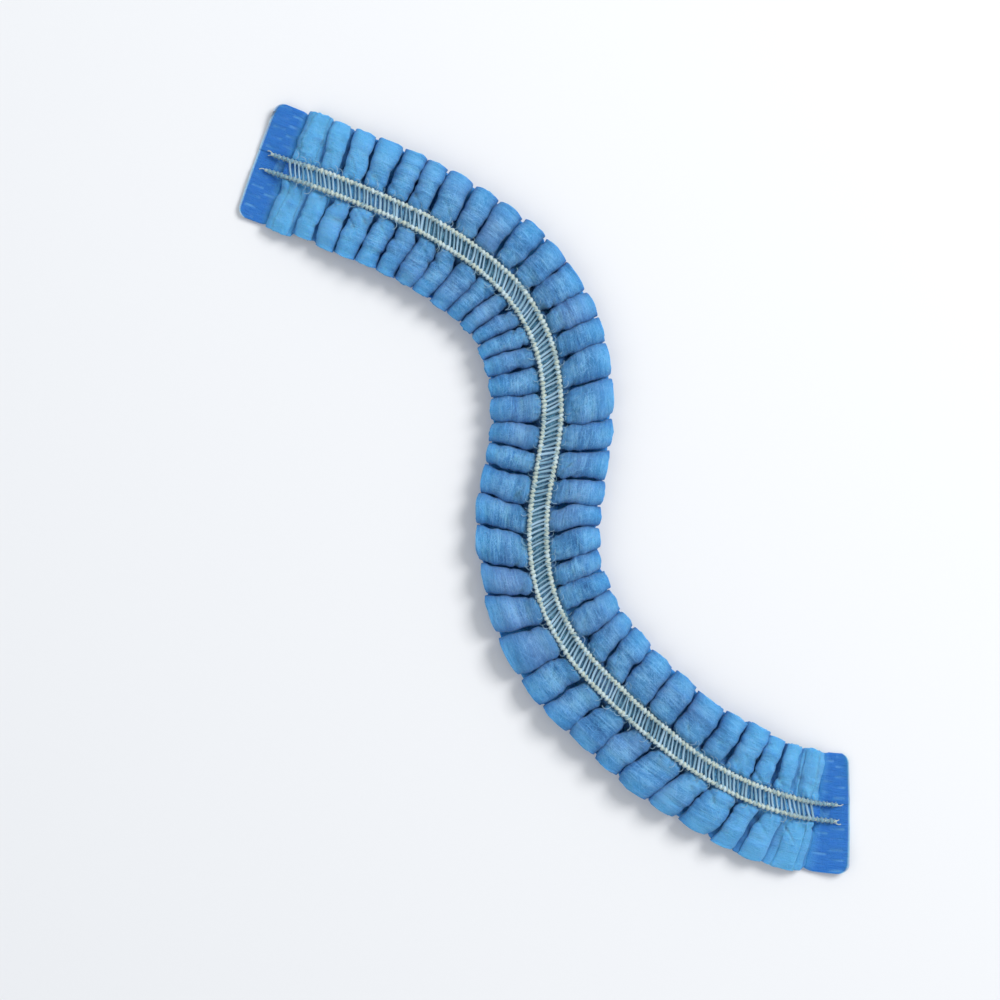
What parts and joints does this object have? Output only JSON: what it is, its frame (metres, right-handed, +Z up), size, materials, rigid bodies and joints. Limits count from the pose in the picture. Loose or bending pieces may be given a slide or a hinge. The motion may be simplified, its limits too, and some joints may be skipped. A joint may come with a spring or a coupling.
{
  "type": "disposable hairnet",
  "caption": "Disposable pleated nonwoven cap, packed as a narrow strip in a lazy S: round cross pleats, flat welded ends and two elastic cords along a gathered rim.",
  "frame": {"origin": "middle of the footprint's bounding box, on the surface that the strip lies on", "axes": "+Z up, away from the surface that the strip lies on; +X towards the side of the lower right welded end; +Y towards the upper left welded end"},
  "size_m": [0.1536, 0.1936, 0.0077],
  "materials": {
    "nonwoven": "soft matt blue spunbonded nonwoven, slightly translucent",
    "rim_nonwoven": "the same blue nonwoven, gathered finely and overcast with pale thread",
    "elastic": "matt cream covered elastic cord, overcast with thread"
  },
  "bodies": {
    "root": {"cap_body": "nonwoven", "rim_band": "rim_nonwoven", "elastic_left": "elastic", "elastic_right": "elastic"}
  },
  "joints": []
}
